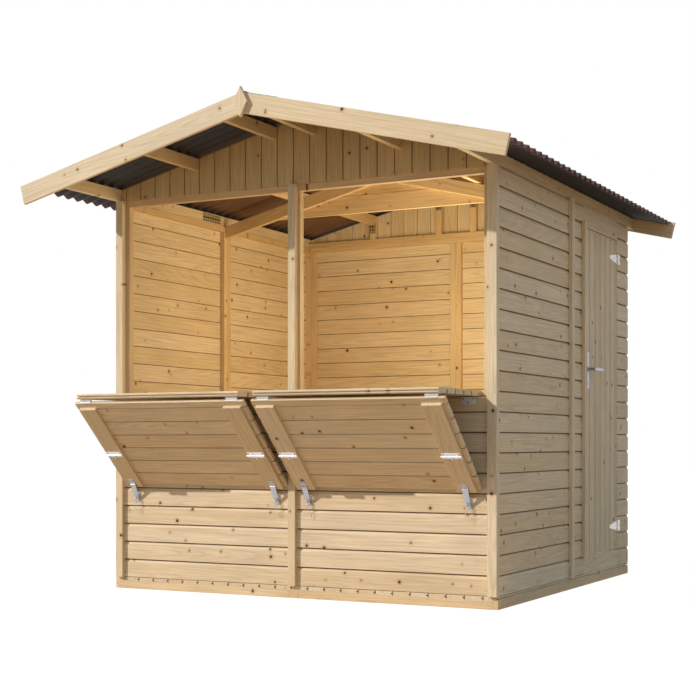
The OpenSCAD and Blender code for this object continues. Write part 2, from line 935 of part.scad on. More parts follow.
floor_joists();
floor_end_boards();
floor_boards();
front_wall_left();
front_wall_right();
front_posts();
front_rails();
counter_sills();
left_wall();
left_wall_studs();
right_wall();
right_wall_sill();
right_wall_head();
right_wall_studs();
rear_wall();
rear_wall_studs();
wall_rails();
cover_strips();
front_gable();
rear_gable();
gable_rails();
gable_studs();
top_purlins();
middle_purlins();
eave_purlins();
truss_rafters();
truss_ties();
roof_left();
roof_right();
ridge_cap();
front_bargeboards();
rear_bargeboards();
apex_diamond();
counter_left();
counter_right();
prop_left();
prop_right();
prop_battens();
counter_hinges();
prop_bolts();
prop_hasps();
door_leaf();
door_ledges();
door_straps();
door_hinge_plates();
door_handle();
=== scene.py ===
"""Market stall: planed spruce boards on a light timber frame, under wave sheets of bitumen."""
import math
import random

import bmesh
import bpy
from mathutils import Matrix, Vector


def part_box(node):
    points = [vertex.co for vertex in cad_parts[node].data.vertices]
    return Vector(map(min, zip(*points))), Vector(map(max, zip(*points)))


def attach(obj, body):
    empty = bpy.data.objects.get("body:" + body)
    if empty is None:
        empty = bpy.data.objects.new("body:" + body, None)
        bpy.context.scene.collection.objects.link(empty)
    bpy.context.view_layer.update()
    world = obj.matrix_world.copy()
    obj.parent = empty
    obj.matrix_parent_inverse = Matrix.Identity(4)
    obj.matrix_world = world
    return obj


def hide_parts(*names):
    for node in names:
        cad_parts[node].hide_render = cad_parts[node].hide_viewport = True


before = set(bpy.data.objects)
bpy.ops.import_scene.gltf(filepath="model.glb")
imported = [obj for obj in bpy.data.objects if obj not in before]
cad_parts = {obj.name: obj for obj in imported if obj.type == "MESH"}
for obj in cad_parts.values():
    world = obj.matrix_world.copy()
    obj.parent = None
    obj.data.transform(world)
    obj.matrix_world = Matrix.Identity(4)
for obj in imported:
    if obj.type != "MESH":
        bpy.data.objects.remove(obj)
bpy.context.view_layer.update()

# Camera
# It stands a little below counter height, to the right of the front, where the photograph was taken.
def add_object(name, data):
    """Puts a new object with the given data in the scene."""
    thing = bpy.data.objects.new(name, data)
    bpy.context.scene.collection.objects.link(thing)
    return thing


camera_data = bpy.data.cameras.new("camera")
camera_data.lens = 72.08
camera_data.sensor_width = 36
camera_data.shift_y = 0.1368
camera = add_object("camera", camera_data)
camera.location = (3.272, -6.667, 0.728)
camera.rotation_euler = (math.radians(90), 0, math.radians(27.684))
bpy.context.scene.camera = camera
bpy.context.scene.view_settings.view_transform = "Standard"


# Light
# A low sun from the front left and a pale, slightly blue sky all round, as on a bright day.
def linear(code):
    """Turns an sRGB hex colour into the linear numbers that shaders use."""
    parts = [int(code[i:i + 2], 16) / 255 for i in (1, 3, 5)]
    parts = [p / 12.92 if p <= 0.04045 else ((p + 0.055) / 1.055) ** 2.4 for p in parts]
    return (*parts, 1)


def add_node(tree, kind, settings=None, **links):
    """Adds a shader node. A link is named after its socket, or i and the socket's number, and its
    value is a number, a colour or another node's output socket."""
    node = tree.nodes.new("ShaderNode" + kind)
    for name, value in (settings or {}).items():
        setattr(node, name, value)
    for name, value in links.items():
        name = name.replace("_", " ")
        by_number = name[0] == "i" and name[1:].isdigit()
        socket = node.inputs[int(name[1:]) if by_number else name]
        if isinstance(value, bpy.types.NodeSocket):
            tree.links.new(value, socket)
        else:
            socket.default_value = value
    return node


def new_material(name):
    """A material with an empty node tree, and its output node."""
    material = bpy.data.materials.new(name)
    material.use_nodes = True
    material.node_tree.nodes.clear()
    return material, material.node_tree, material.node_tree.nodes.new("ShaderNodeOutputMaterial")


sun_travel = Vector((0.66, 0.54, -0.52))
sun_data = bpy.data.lights.new("sun", "SUN")
sun_data.energy = 3.2
sun_data.angle = math.radians(1.0)
sun_data.color = (1.0, 0.96, 0.90)
sun = add_object("sun", sun_data)
sun.rotation_euler = sun_travel.to_track_quat("-Z", "Y").to_euler()


def seen_ray(tree):
    """One for rays from the eye, a mirror or a glass, which see the plain white background."""
    path = add_node(tree, "LightPath")
    seen = add_node(tree, "Math", {"operation": "MAXIMUM"}, i0=path.outputs["Is Camera Ray"],
                    i1=path.outputs["Is Glossy Ray"])
    return add_node(tree, "Math", {"operation": "MAXIMUM"}, i0=seen.outputs[0],
                    i1=path.outputs["Is Transmission Ray"]).outputs[0]


sky_colour = (0.335, 0.43, 0.52, 1)
world = bpy.data.worlds.new("sky")
world.use_nodes = True
bpy.context.scene.world = world
sky = world.node_tree
sky.nodes.clear()
sky_light = add_node(sky, "Background", Color=sky_colour, Strength=1.0)
sky_seen = add_node(sky, "Background", Color=(1, 1, 1, 1), Strength=1.0)
sky_mix = add_node(sky, "MixShader", Fac=seen_ray(sky), i1=sky_light.outputs[0],
                   i2=sky_seen.outputs[0])
add_node(sky, "OutputWorld", Surface=sky_mix.outputs[0])

# A warm, wide lamp in the room stands for the daylight that the boards throw back and forth
room_data = bpy.data.lights.new("room_lamp", "POINT")
room_data.shadow_soft_size = 0.45
room_data.energy = 34
room_data.color = (1.0, 0.88, 0.56)
room_lamp = add_object("room_lamp", room_data)
room_lamp.location = (0.3, -0.1, 1.45)


# Floor of the studio
# A plain white floor that keeps a faint shadow of the stall.
def deselect():
    """Leaves edit mode and selects nothing."""
    if bpy.context.object and bpy.context.object.mode == "EDIT":
        bpy.ops.object.mode_set(mode="OBJECT")
    bpy.ops.object.select_all(action="DESELECT")


deselect()
bpy.ops.mesh.primitive_plane_add(size=60, location=(0, 0, 0))
studio_floor = bpy.context.object
studio_floor.name = "studio_floor"
floor_paint, tree, output = new_material("floor_white_paint")
matt = add_node(tree, "BsdfDiffuse", Color=(0.58, 0.41, 0.25, 1))
glow = add_node(tree, "Emission", Color=(1, 1, 1, 1), Strength=1.35)
part_seen = add_node(tree, "Math", {"operation": "MULTIPLY"}, i0=seen_ray(tree), i1=0.72)
blend = add_node(tree, "MixShader", Fac=part_seen.outputs[0], i1=matt.outputs[0], i2=glow.outputs[0])
tree.links.new(blend.outputs[0], output.inputs[0])
studio_floor.data.materials.append(floor_paint)


# Timber
# All of the stall's timber is planed, untreated Nordic spruce. Each board keeps its own grain and
# tone: the attribute grain says where a point lies in its own board, in metres, with the first
# number along the board, and the attribute deep says how far it lies down a joint, from 0 to 1,
# and sets how much painted shade darkens the wood there.
chance = random.Random(12)
mm = 0.001


def spruce(name, early, late, wide=1.0):
    """Planed spruce: pale early wood with darker late wood in long flames, small dark knots with a
    warm ring, and fine fibres along the board that catch a little light."""
    material, tree, output = new_material(name)
    place = add_node(tree, "Attribute", {"attribute_name": "grain"}).outputs["Vector"]
    tone = add_node(tree, "Attribute", {"attribute_name": "tone"}).outputs["Fac"]

    # Knots two or three to the metre on each board, 4 to 16 mm across, right through its thickness
    cells = add_node(tree, "TexVoronoi", {"voronoi_dimensions": "2D"}, Vector=place,
                     Scale=11.0, Randomness=1.0)
    draw = add_node(tree, "SeparateColor", Color=cells.outputs["Color"])
    size = add_node(tree, "MapRange", Value=draw.outputs[0], i1=0.74, i2=1.0, i3=0.0, i4=0.085)
    ragged = add_node(tree, "TexNoise", Vector=place, Scale=130.0, Detail=2.0)
    edge = add_node(tree, "MapRange", Value=ragged.outputs[0], i3=-0.025, i4=0.025)
    reach = add_node(tree, "Math", {"operation": "ADD"}, i0=cells.outputs["Distance"],
                     i1=edge.outputs[0])
    inside = add_node(tree, "Math", {"operation": "SUBTRACT"}, i0=size.outputs[0],
                      i1=reach.outputs[0])
    knot = add_node(tree, "MapRange", {"interpolation_type": "SMOOTHSTEP"}, Value=inside.outputs[0],
                    i1=-0.012, i2=0.012)
    halo = add_node(tree, "MapRange", {"interpolation_type": "SMOOTHSTEP"}, Value=inside.outputs[0],
                    i1=-0.16, i2=0.0)
    present = add_node(tree, "Math", {"operation": "GREATER_THAN"}, i0=size.outputs[0], i1=0.01)
    halo = add_node(tree, "Math", {"operation": "MULTIPLY"}, i0=halo.outputs[0],
                    i1=present.outputs[0])
    knot = add_node(tree, "Math", {"operation": "MULTIPLY"}, i0=knot.outputs[0],
                    i1=present.outputs[0])

    # Growth rings: level lines of a smooth noise drawn out along the board, bent round the knots
    stretch = add_node(tree, "VectorMath", {"operation": "MULTIPLY"}, i0=place,
                       i1=(0.38, 7.5 * wide, 7.5 * wide))
    smooth = add_node(tree, "TexNoise", Vector=stretch.outputs[0], Scale=1.0, Detail=1.0,
                      Roughness=0.35)
    bent = add_node(tree, "Math", {"operation": "MULTIPLY_ADD"}, i0=halo.outputs[0], i1=0.05,
                    i2=smooth.outputs[0])
    rings = add_node(tree, "Math", {"operation": "MULTIPLY"}, i0=bent.outputs[0], i1=30.0)
    ring = add_node(tree, "Math", {"operation": "FRACT"}, i0=rings.outputs[0])
    late_wood = add_node(tree, "MapRange", {"interpolation_type": "SMOOTHSTEP"},
                         Value=ring.outputs[0], i1=0.45, i2=0.95)

    # Fibres under a millimetre wide, drawn about twice as coarse so that they show
    fibre_place = add_node(tree, "VectorMath", {"operation": "MULTIPLY"}, i0=place,
                           i1=(9, 420, 420))
    fibre = add_node(tree, "TexNoise", Vector=fibre_place.outputs[0], Scale=1.0, Detail=3.0,
                     Roughness=0.6)
    streak_place = add_node(tree, "VectorMath", {"operation": "MULTIPLY"}, i0=place,
                            i1=(4, 120, 120))
    streak = add_node(tree, "TexNoise", Vector=streak_place.outputs[0], Scale=1.0, Detail=2.0)
    cloud = add_node(tree, "TexNoise", Vector=place, Scale=3.0, Detail=2.0)

    early_pale = add_node(tree, "MixRGB", Fac=tone, Color1=linear(early[0]), Color2=linear(early[1]))
    late_part = add_node(tree, "Math", {"operation": "MULTIPLY"}, i0=late_wood.outputs[0], i1=0.27)
    body = add_node(tree, "MixRGB", Fac=late_part.outputs[0], Color1=early_pale.outputs[0],
                    Color2=linear(late))
    fibre_part = add_node(tree, "MapRange", Value=fibre.outputs[0], i1=0.3, i2=0.7, i3=0.88,
                          i4=1.07)
    cloud_part = add_node(tree, "MapRange", Value=cloud.outputs[0], i1=0.3, i2=0.7, i3=0.95,
                          i4=1.06)
    streak_part = add_node(tree, "MapRange", Value=streak.outputs[0], i1=0.3, i2=0.7, i3=0.90,
                           i4=1.08)
    light = add_node(tree, "Math", {"operation": "MULTIPLY"}, i0=fibre_part.outputs[0],
                     i1=cloud_part.outputs[0])
    light = add_node(tree, "Math", {"operation": "MULTIPLY"}, i0=light.outputs[0],
                     i1=streak_part.outputs[0])
    lit = add_node(tree, "MixRGB", {"blend_type": "MULTIPLY"}, Fac=1.0, Color1=body.outputs[0],
                   Color2=light.outputs[0])
    halo_part = add_node(tree, "Math", {"operation": "MULTIPLY"}, i0=halo.outputs[0], i1=0.45)
    ringed = add_node(tree, "MixRGB", Fac=halo_part.outputs[0], Color1=lit.outputs[0],
                      Color2=linear("#B98246"))
    knotted = add_node(tree, "MixRGB", Fac=knot.outputs[0], Color1=ringed.outputs[0],
                       Color2=linear("#4A2C16"))
    # Painted shade down the joints: the deeper a corner lies in a joint, the more it is mixed toward
    # dark brown
    deep = add_node(tree, "Attribute", {"attribute_name": "deep"}).outputs["Fac"]
    shade = add_node(tree, "Math", {"operation": "MULTIPLY"}, i0=deep, i1=0.86)
    knotted = add_node(tree, "MixRGB", Fac=shade.outputs[0], Color1=knotted.outputs[0],
                       Color2=linear("#6A401C"))

    height = add_node(tree, "Math", {"operation": "MULTIPLY_ADD"}, i0=late_wood.outputs[0], i1=0.5,
                      i2=fibre.outputs[0])
    bump = add_node(tree, "Bump", Strength=0.25, Distance=0.0006, Height=height.outputs[0])
    rough = add_node(tree, "MapRange", Value=fibre.outputs[0], i3=0.52, i4=0.72)
    surface = add_node(tree, "BsdfPrincipled", Base_Color=knotted.outputs[0],
                       Roughness=rough.outputs[0], IOR=1.45, Normal=bump.outputs[0])
    tree.links.new(surface.outputs[0], output.inputs[0])
    return material


wall_spruce = spruce("planed_spruce_boards", ("#E4CFAF", "#DBC29B"), "#C49F70")
frame_spruce = spruce("planed_spruce_frame_timber", ("#E1C8A0", "#D6B588"), "#BC935F", wide=1.3)
# A darker, browner copy of the board spruce, as painted shade for the front gable in the shade of
# the roof's overhang
gable_spruce_painted_shade = spruce("planed_spruce_gable_painted_shade", ("#D3B686", "#CBAA77"), "#B48A55")


def lay_grain(piece, along, across):
    """Stores a point's place in its own piece of timber, and a tone for the whole piece."""
    start = Vector([chance.uniform(-30, 30) for _ in range(3)])
    shade = chance.random()
    deep = along.cross(across)
    piece.data.attributes.new("grain", "FLOAT_VECTOR", "POINT")
    piece.data.attributes.new("tone", "FLOAT", "POINT")
    places = []
    for vert in piece.data.vertices:
        places.extend(start + Vector([axis.dot(vert.co) for axis in (along, across, deep)]))
    piece.data.attributes["grain"].data.foreach_set("vector", places)
    piece.data.attributes["tone"].data.foreach_set("value", [shade] * len(piece.data.vertices))


def mark_joints(board, thick, height, painted_shade_on_ends=True):
    """Stores how deep each corner of a pattern board lies in the joints along its two edges. The
    painted shade starts a millimetre below the faces, and is full 4 mm further down."""
    joint_w, starts, grows = 6 * mm, 1 * mm, 4 * mm
    board.data.attributes.new("deep", "FLOAT", "CORNER")
    depths = []
    for face in board.data.polygons:
        is_end = abs(face.normal.x) > 0.9
        for index in face.vertices:
            place = board.data.vertices[index].co
            level = min(place.y, thick - place.y) - starts
            at_edge = min(place.z, height - place.z) < joint_w
            shaded = at_edge and (painted_shade_on_ends or not is_end)
            depths.append(min(1.0, max(0.0, level / grows)) if shaded else 0.0)
    board.data.attributes["deep"].data.foreach_set("value", depths)


def start_cube(name, low, high):
    """A cube primitive at its size and place, with its object at the origin."""
    deselect()
    middle = [(a + b) / 2 for a, b in zip(low, high)]
    bpy.ops.mesh.primitive_cube_add(size=1, location=middle)
    piece = bpy.context.object
    piece.name = name
    piece.scale = [b - a for a, b in zip(low, high)]
    bpy.ops.object.transform_apply(location=True, rotation=True, scale=True)
    return piece


def pick(piece, kind, wanted):
    """Goes into edit mode and selects the faces or edges that wanted() accepts."""
    deselect()
    bpy.context.view_layer.objects.active = piece
    piece.select_set(True)
    bpy.ops.object.mode_set(mode="EDIT")
    bpy.ops.mesh.select_mode(type=kind)
    bpy.ops.mesh.select_all(action="DESELECT")
    shape = bmesh.from_edit_mesh(piece.data)
    for part in (shape.faces if kind == "FACE" else shape.edges):
        if wanted(part):
            part.select_set(True)
    bmesh.update_edit_mesh(piece.data)


def join(name, pieces, body, nodes, material):
    """Joins boards into the one piece that stands for its CAD nodes."""
    deselect()
    for piece in pieces:
        piece.select_set(True)
    bpy.context.view_layer.objects.active = pieces[0]
    if len(pieces) > 1:
        bpy.ops.object.join()
    whole = bpy.context.view_layer.objects.active
    whole.name = name
    whole.data.name = name
    whole.data.materials.clear()
    whole.data.materials.append(material)
    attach(whole, body)
    if nodes:
        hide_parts(*nodes)
    return whole


def solids(node):
    """The lowest and highest corners of each separate solid in a CAD node."""
    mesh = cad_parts[node].data
    group = {}

    def root(key):
        while group[key] != key:
            key = group[key]
        return key

    keys = [tuple(round(c, 5) for c in vert.co) for vert in mesh.vertices]
    for key in keys:
        group[key] = key
    for face in mesh.polygons:
        first = root(keys[face.vertices[0]])
        for index in face.vertices[1:]:
            group[root(keys[index])] = first
    boxes = {}
    for key in group:
        boxes.setdefault(root(key), []).append(key)
    return sorted((tuple(min(c[i] for c in b) for i in range(3)),
                   tuple(max(c[i] for c in b) for i in range(3))) for b in boxes.values())


axes = [Vector((1, 0, 0)), Vector((0, 1, 0)), Vector((0, 0, 1))]


def bar(low, high, ease=1.5 * mm):
    """One planed bar or board with eased edges, and its grain along its longest side."""
    piece = start_cube("bar", low, high)
    sizes = [b - a for a, b in zip(low, high)]
    order = sorted(range(3), key=lambda i: -sizes[i])
    pick(piece, "EDGE", lambda edge: True)
    bpy.ops.mesh.bevel(offset=min(ease, 0.2 * sizes[order[2]]), segments=2, profile=0.6,
                       affect="EDGES")
    deselect()
    lay_grain(piece, axes[order[0]], axes[order[1]])
    return piece


def bars(node, body, material=None):
    """Planed bars in place of the plain ones of a CAD node."""
    pieces = [bar(low, high) for low, high in solids(node)]
    return join(node + "_planed", pieces, body, [node], material or frame_spruce)


# Base and floor
# Bearers lie on the ground under tongue and groove floor boards, whose sawn ends show at the front.
for node in ("floor_joists", "floor_end_boards"):
    bars(node, "stall")

cover = 88 * mm


def profile_board(name, outline, thick, height, painted_shade_on_ends=True):
    """Pattern of a board a metre long on X, from its outline in (Y, Z) points in millimetres."""
    mesh = bpy.data.meshes.new(name)
    mesh.from_pydata([(0, y * mm, z * mm) for y, z in outline], [], [list(range(len(outline)))])
    board = add_object(name, mesh)
    pick(board, "FACE", lambda face: True)
    bpy.ops.mesh.extrude_region_move(TRANSFORM_OT_translate={"value": (1, 0, 0)})
    bpy.ops.mesh.select_all(action="SELECT")
    bpy.ops.mesh.normals_make_consistent(inside=False)
    # A cut 8 mm in from each edge keeps the painted shade of the joints off the face between them
    for level in (8, height - 8):
        pick(board, "FACE", lambda face: True)
        bpy.ops.mesh.bisect(plane_co=(0, 0, level * mm), plane_no=(0, 0, 1))
    deselect()
    mark_joints(board, thick * mm, height * mm, painted_shade_on_ends)
    return board


def tongued_board(name, thick, vee, back=1.5):
    """A tongue and groove board with its face at Y = 0 and its width on Z, in millimetres. The
    edges of its face and its back are bevelled by vee and by back."""
    wide = cover / mm
    low, high = 1.2, wide - 1.2
    near, far = 0.36 * thick, 0.64 * thick
    groove = [(near, low), (near + 0.4, low + 9), (far - 0.4, low + 9), (far, low)]
    tongue = [(far - 0.8, high), (far - 1.2, high + 4), (near + 1.2, high + 4), (near + 0.8, high)]
    outline = [(0, low + vee + 0.5), (0.2, low + vee), (vee, low), *groove, (thick - back, low),
               (thick, low + back), (thick, high - back), (thick - back, high), *tongue,
               (vee, high), (0.2, high - vee), (0, high - vee - 0.5)]
    return profile_board(name, outline, thick, wide)


def bare_edge(board, low, high):
    """Takes the joint's painted painted shade off the flats of a long edge that no other board
    covers.
    """
    depths = board.data.attributes["deep"].data
    for loop, depth in zip(board.data.loops, depths):
        if low - 1e-5 < board.data.vertices[loop.vertex_index].co.z < high + 1e-5:
            depth.value = 0


def twin(piece):
    """A copy of a piece with a mesh of its own."""
    copy = piece.copy()
    copy.data = piece.data.copy()
    bpy.context.scene.collection.objects.link(copy)
    return copy


def run_of_boards(pattern, corner, along, inward, length, width, first=None, pitch=cover,
                  open_top=False):
    """Copies a pattern board side by side from a corner, the last one ripped to the width left."""
    across = along.cross(inward)
    boards = []
    start = 0.0
    rip = first or pitch
    while start < width - 1 * mm:
        rip = min(rip, width - start)
        board = twin(pattern)
        if start == 0:
            bare_edge(board, 0, 4 * mm)
        if start + rip > width - 1 * mm and not open_top:
            bare_edge(board, pitch - 4 * mm, pitch + 4 * mm)
        stand = chance.uniform(-0.25, 0.25) * mm
        stretch = Matrix.Diagonal((length, 1, rip / pitch, 1))
        turn = Matrix((along, inward, across)).transposed().to_4x4()
        spot = Matrix.Translation(corner + across * start + inward * stand)
        board.data.transform(spot @ turn @ stretch)
        lay_grain(board, along, across)
        boards.append(board)
        start += rip
        rip = pitch
    return boards


X, Y, Z = axes
low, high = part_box("floor_boards")
floor_pattern = tongued_board("floor_pattern", (high[2] - low[2]) / mm, 1.5)
boards = run_of_boards(floor_pattern, Vector((high[0], low[1], high[2])), Y, -Z,
                       high[1] - low[1], high[0] - low[0], first=70 * mm)
join("floor_boards_laid", boards, "stall", ["floor_boards"], wall_spruce)


# Walls
# Level shiplap boards with a shadow gap. Each has a scooped upper edge that sheds water, and is
# nailed to the studs from outside.
floor_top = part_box("floor_boards")[1][2]
wall_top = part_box("left_wall")[1][2]
rows = 21
row_h = (wall_top - floor_top) / rows
clad_t = 16 * mm


def shiplap_board(name):
    """A shiplap board with its face at Y = 0 and its height on Z, in millimetres."""
    thick, high = clad_t / mm, row_h / mm
    top = high - 2.2
    lap, slot = 9, thick - 5.5
    outline = [(0, 3.2), (0.3, 2.5), (1, 2.2), (lap, 2.2), (lap, 0), (slot, 0), (slot, 2),
               (thick, 2), (thick, high - 2), (slot, high - 2), (slot, high), (lap, high),
               (lap, top), (5.4, top), (4.8, top - 4), (3.2, top - 8), (0, top - 12)]
    return profile_board(name, outline, thick, high, painted_shade_on_ends=False)


clad_pattern = shiplap_board("shiplap_pattern")
facing = {"front": (X, Y), "right": (Y, -X), "rear": (-X, -Y), "left": (-Y, X)}


def clad_panel(box, side):
    """Boards over one wall panel, given the corners of its solid and the side that it faces."""
    low, high = Vector(box[0]), Vector(box[1])
    along, inward = facing[side]
    pick_corner = [low[i] if (along + inward)[i] > 0 else high[i] for i in range(2)]
    corner = Vector((*pick_corner, low[2]))
    length = abs((high - low).dot(along))
    return run_of_boards(clad_pattern, corner, along, inward, length, high[2] - low[2],
                         pitch=row_h, open_top=True)


for node, side in (("front_wall_left", "front"), ("front_wall_right", "front"),
                   ("left_wall", "left"), ("right_wall", "right"), ("rear_wall", "rear")):
    boards = []
    for box in solids(node):
        boards += clad_panel(box, side)
    join(node + "_boards", boards, "stall", [node], wall_spruce)

for node in ("right_wall_sill", "right_wall_head"):
    bars(node, "stall", wall_spruce)


# Frame
# Posts, rails and studs behind the cladding show through the serving openings. Cover strips close
# the joints of the panels and the corners outside.
for node in ("front_posts", "front_rails", "counter_sills", "left_wall_studs", "right_wall_studs",
             "rear_wall_studs", "wall_rails", "gable_rails", "gable_studs"):
    bars(node, "stall")
wall_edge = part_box("right_wall")[1][0]
corner_strip_w = 46 * mm
strips = []
for low, high in solids("cover_strips"):
    # The front right corner strip also covers the ends of the side wall's boards
    if high[1] < 0 and high[0] > 0.9 and low[0] < 1.0:
        low, high = (wall_edge - corner_strip_w, *low[1:]), (wall_edge, *high[1:])
    strips.append(bar(low, high))
join("cover_strips_planed", strips, "stall", ["cover_strips"], wall_spruce)


# Gables
# Upright tongue and groove boards, sawn off along the roof slope over both gable ends.
def shaped(name, node, body, along, ease=1.2 * mm, material=None):
    """A sawn shape from its CAD node, with eased edges and the grain along the given direction."""
    whole = twin(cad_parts[node])
    whole.parent = None
    whole.matrix_world = Matrix.Identity(4)
    pick(whole, "FACE", lambda face: True)
    bpy.ops.mesh.remove_doubles(threshold=0.02 * mm)
    bpy.ops.mesh.dissolve_limited(angle_limit=math.radians(1))
    bpy.ops.mesh.select_all(action="SELECT")
    bpy.ops.mesh.separate(type="LOOSE")
    bpy.ops.object.mode_set(mode="OBJECT")
    pieces = list(bpy.context.selected_objects)
    for piece in pieces:
        pick(piece, "EDGE", lambda edge: True)
        bpy.ops.mesh.bevel(offset=ease, segments=2, profile=0.6, affect="EDGES")
        deselect()
        middle = sum((v.co for v in piece.data.vertices), Vector()) / len(piece.data.vertices)
        run = along(middle)
        lay_grain(piece, run, run.cross(Y) if abs(run.y) < 0.5 else X)
    return join(name, pieces, body, [node], material or frame_spruce)


pitch_angle = math.radians(13.86)
slope_right = Vector((math.cos(pitch_angle), 0, -math.sin(pitch_angle)))
slope_left = Vector((-math.cos(pitch_angle), 0, -math.sin(pitch_angle)))


def down_slope(middle):
    """The way down the roof slope over a point."""
    return slope_right if middle.x > 0 else slope_left


def off_slope(slope):
    """The way straight up off a roof slope."""
    return Vector((math.copysign(slope.z, slope.x), 0, abs(slope.x)))


gable_pattern = tongued_board("gable_pattern", clad_t / mm, 3)
for node, side in (("front_gable", 1), ("rear_gable", -1)):
    low, high = (Vector(c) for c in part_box(node))
    face_y = low.y if side == 1 else high.y
    start_x = low.x if side == 1 else high.x
    tall = high.z - low.z
    boards = run_of_boards(gable_pattern, Vector((start_x, face_y, high.z)), -Z, Y * side,
                           tall, high.x - low.x, first=(high.x - low.x) / 2 % cover)
    # The front gable takes the spruce with painted shade, and the rear gable the plain board spruce
    chosen_spruce = gable_spruce_painted_shade if side == 1 else wall_spruce
    gable = join(node + "_boards", boards, "stall", [node], chosen_spruce)
    for slope in (slope_right, slope_left):
        pick(gable, "FACE", lambda face: True)
        bpy.ops.mesh.bisect(plane_co=(0, 0, high.z), plane_no=off_slope(slope), clear_outer=True,
                            use_fill=True)
    deselect()


# Roof timbers
# Purlins run from the front bargeboards to the rear ones. Two rafters with two ties hold them up
# in the middle of the stall.
purlin_x = (0.111, 0.549, 1.011)
for node in ("top_purlins", "middle_purlins"):
    bars(node, "stall")
bars("eave_purlins", "stall", wall_spruce)
shaped("truss_rafters_planed", "truss_rafters", "stall", down_slope)
shaped("truss_ties_planed", "truss_ties", "stall", lambda middle: X)
for node in ("front_bargeboards", "rear_bargeboards"):
    shaped(node + "_planed", node, "stall", down_slope, 2 * mm, wall_spruce)
shaped("apex_diamond_planed", "apex_diamond", "stall", lambda middle: Z, 1.5 * mm,
       wall_spruce)


# Roof sheets
# Wave sheets of fibre soaked in bitumen, dark on top and brown below, with a slightly grainy skin.
def bitumen():
    """Bitumen-soaked fibre: dull, nearly black brown, with a fine grain that stops any shine. Its
    underside is a lighter brown over the room, which is painted light from the lit room below."""
    material, tree, output = new_material("bitumen_fibre_sheet")
    place = add_node(tree, "TexCoord").outputs["Object"]
    grit = add_node(tree, "TexNoise", Vector=place, Scale=380.0, Detail=3.0)
    cloud = add_node(tree, "TexNoise", Vector=place, Scale=7.0, Detail=4.0)
    normal = add_node(tree, "NewGeometry").outputs["Normal"]
    upward = add_node(tree, "SeparateXYZ", Vector=normal)
    above = add_node(tree, "MapRange", Value=upward.outputs[2], i1=-0.2, i2=0.2)
    spot = add_node(tree, "SeparateXYZ", Vector=place)
    inner_x = add_node(tree, "Math", {"operation": "ABSOLUTE"}, i0=spot.outputs[0])
    inner_y = add_node(tree, "Math", {"operation": "ABSOLUTE"}, i0=spot.outputs[1])
    further = add_node(tree, "Math", {"operation": "MAXIMUM"}, i0=inner_x.outputs[0],
                       i1=inner_y.outputs[0])
    # Painted light from the room: the underside is a lighter brown over the room and a dark brown
    # past the walls
    past_painted_room_light = add_node(tree, "MapRange", Value=further.outputs[0], i1=0.94, i2=1.0)
    under = add_node(tree, "MixRGB", Fac=past_painted_room_light.outputs[0], Color1=linear("#644837"),
                     Color2=linear("#251E1C"))
    # Painted light: from 1.2 m out, the underside and ends at each eave turn a lighter purple brown,
    # as painted sky light
    lip = add_node(tree, "MapRange", Value=inner_x.outputs[0], i1=1.2, i2=1.212)
    under = add_node(tree, "MixRGB", Fac=lip.outputs[0], Color1=under.outputs[0],
                     Color2=linear("#553A3E"))
    sides = add_node(tree, "MixRGB", Fac=above.outputs[0], Color1=under.outputs[0],
                     Color2=linear("#3A2527"))
    faded = add_node(tree, "MapRange", Value=cloud.outputs[0], i1=0.3, i2=0.7, i3=0.8, i4=1.25)
    colour = add_node(tree, "MixRGB", {"blend_type": "MULTIPLY"}, Fac=1.0, Color1=sides.outputs[0],
                      Color2=faded.outputs[0])
    bump = add_node(tree, "Bump", Strength=0.4, Distance=0.0008, Height=grit.outputs[0])
    surface = add_node(tree, "BsdfPrincipled", Base_Color=colour.outputs[0], Roughness=0.62,
                       Normal=bump.outputs[0])
    tree.links.new(surface.outputs[0], output.inputs[0])
    return material


def paint(node, material):
    """Gives a CAD node its one material."""
    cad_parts[node].data.materials.clear()
    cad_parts[node].data.materials.append(material)


roof_felt = bitumen()
for node in ("roof_left", "roof_right", "ridge_cap"):
    paint(node, roof_felt)


# Counters and props
# Each flap is two leaves hinged together. The upper one is the counter, and the lower one leans
# back from its front edge to the wall, with a batten near each end.
counter_pattern = tongued_board("counter_pattern", 24, 3, 5)
for node in ("counter_left", "counter_right"):
    low, high = (Vector(c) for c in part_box(node))
    boards = run_of_boards(counter_pattern, Vector((low.x, low.y, high.z)), X, -Z,
                           high.x - low.x, high.y - low.y)
    join(node + "_boards", boards, "stall", [node], wall_spruce)

prop_t = 16 * mm
prop_len = 566 * mm
prop_pattern = tongued_board("prop_pattern", prop_t / mm, 2.5, 4.5)
low, high = (Vector(c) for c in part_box("prop_right"))
# The lean follows from the node's box in a few turns, because the leaf's thickness leans with it
prop_lean = math.atan2(high.z - low.z, high.y - low.y)
for turn in range(8):
    level = high.y - low.y - prop_t * math.sin(prop_lean)
    prop_lean = math.acos(level / prop_len)
prop_inward = Vector((0, math.sin(prop_lean), math.cos(prop_lean)))
prop_up = Vector((0, -math.cos(prop_lean), math.sin(prop_lean)))
for node in ("prop_left", "prop_right"):
    low, high = (Vector(c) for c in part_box(node))
    foot = Vector((low.x, low.y, high.z - prop_t * math.cos(prop_lean))) - prop_up * prop_len
    boards = run_of_boards(prop_pattern, foot, X, prop_inward, high.x - low.x, prop_len)
    join(node + "_boards", boards, "stall", [node], wall_spruce)
prop_top = Vector((0, low.y, high.z - prop_t * math.cos(prop_lean)))
batten_t = 17 * mm


def grooved_batten(wide):
    """A strip sawn off a tongue and groove board, with the groove in its edge at Z = 0."""
    thick, wide = batten_t / mm, wide / mm
    near, far = 0.34 * thick, 0.66 * thick
    outline = [(0, 2), (2, 0), (near, 0), (near + 0.4, 7), (far - 0.4, 7), (far, 0), (thick, 0),
               (thick, wide), (2, wide), (0, wide - 2)]
    return profile_board("batten_pattern", outline, thick, wide)


